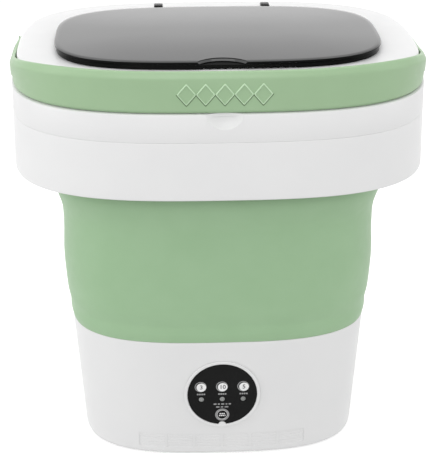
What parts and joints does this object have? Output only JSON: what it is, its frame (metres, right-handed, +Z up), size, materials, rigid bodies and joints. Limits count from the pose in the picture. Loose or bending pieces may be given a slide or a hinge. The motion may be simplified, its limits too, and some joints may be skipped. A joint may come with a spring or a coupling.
{
  "type": "portable mini washer",
  "caption": "Folding tabletop washer: rigid base with pulsator tub and round control panel, soft bellows wall, rigid collar, hinged smoked lid and U-shaped carry handle.",
  "frame": {"origin": "on the floor, under the middle of the machine's outline", "axes": "+Z up, front with the control panel faces -Y, +X to the right as seen from the front"},
  "size_m": [0.352, 0.2878, 0.3666],
  "materials": {
    "white_plastic": "satin",
    "green_plastic": "satin",
    "green_silicone": "matte",
    "smoked_lid": "gloss",
    "black_plastic": "gloss",
    "clear_lens": "clear",
    "black_rubber": "matte",
    "steel": "satin",
    "motor_steel": "satin",
    "gear_plastic": "matte",
    "board": "matte",
    "wire": "matte"
  },
  "bodies": {
    "base": {"base_shell": "white_plastic", "bottom_plate": "white_plastic", "washing_tub": "white_plastic", "drain_elbow": "white_plastic", "panel_bezel": "white_plastic", "base_screw_front_left": "steel", "base_screw_front_right": "steel", "base_screw_rear_left": "steel", "base_screw_rear_right": "steel", "foot_front_left": "black_rubber", "foot_front_right": "black_rubber", "foot_rear_left": "black_rubber", "foot_rear_right": "black_rubber", "shaft_seal": "black_rubber", "shaft_bearing": "steel", "motor_screw_left": "steel", "motor_screw_right": "steel", "lower_bush": "gear_plastic", "gearbox_plate": "gear_plastic", "gearbox_cover": "gear_plastic", "drive_motor": "motor_steel", "power_socket": "black_plastic", "panel_face": "black_plastic", "button_switch": "black_plastic", "timer_lamp_left": "clear_lens", "timer_lamp_middle": "clear_lens", "timer_lamp_right": "clear_lens", "control_board": "board", "power_lead": "wire", "motor_lead": "wire", "bellows": "green_silicone"},
    "collar": {"collar_skirt": "white_plastic", "top_cover": "white_plastic", "collar_liner": "white_plastic", "bellows_clamp": "white_plastic", "hinge_pin_left": "steel", "hinge_pin_right": "steel", "pivot_pin_left": "green_plastic", "pivot_pin_right": "green_plastic"},
    "handle": {"carry_handle": "green_plastic"},
    "lid": {"lid_panel": "smoked_lid", "lid_frame": "black_plastic"},
    "pulsator": {"pulsator": "white_plastic", "pulsator_screw": "steel", "output_shaft": "steel", "drive_gear": "gear_plastic"},
    "motor_rotor": {"motor_shaft": "steel", "motor_pinion": "steel"},
    "start_button": {"start_button": "black_plastic"},
    "drain_plug": {"drain_plug": "black_rubber"}
  },
  "joints": [
    {"name": "collar_fold", "type": "slide", "parent": "base", "child": "collar", "axis": [0, 0, 1], "range_m": [-0.18, 0], "deforming": ["bellows"]},
    {"name": "lid_hinge", "type": "hinge", "parent": "collar", "child": "lid", "pos_m": [0, 0.102, 0.3592], "axis": [-1, 0, 0], "range_deg": [0, 100]},
    {"name": "handle_pivot", "type": "hinge", "parent": "collar", "child": "handle", "pos_m": [0, 0.054, 0.3418], "axis": [-1, 0, 0], "range_deg": [0, 90]},
    {"name": "pulsator_spin", "type": "hinge", "parent": "base", "child": "pulsator", "pos_m": [0, 0, 0.0724], "axis": [0, 0, 1], "continuous": true},
    {"name": "motor_spin", "type": "hinge", "parent": "base", "child": "motor_rotor", "pos_m": [0, 0.0336, 0.0445], "axis": [0, 0, 1], "continuous": true},
    {"name": "start_press", "type": "slide", "parent": "base", "child": "start_button", "axis": [0, 0.997, 0.0771], "range_m": [0, 0.0008], "stiffness_N_per_m": 800, "springref_m": -0.001},
    {"name": "plug_pull", "type": "slide", "parent": "base", "child": "drain_plug", "axis": [0, 1, 0], "range_m": [0, 0.03]}
  ],
  "couplings": [
    {"joint": "motor_spin", "follows": "pulsator_spin", "ratio": -3}
  ]
}
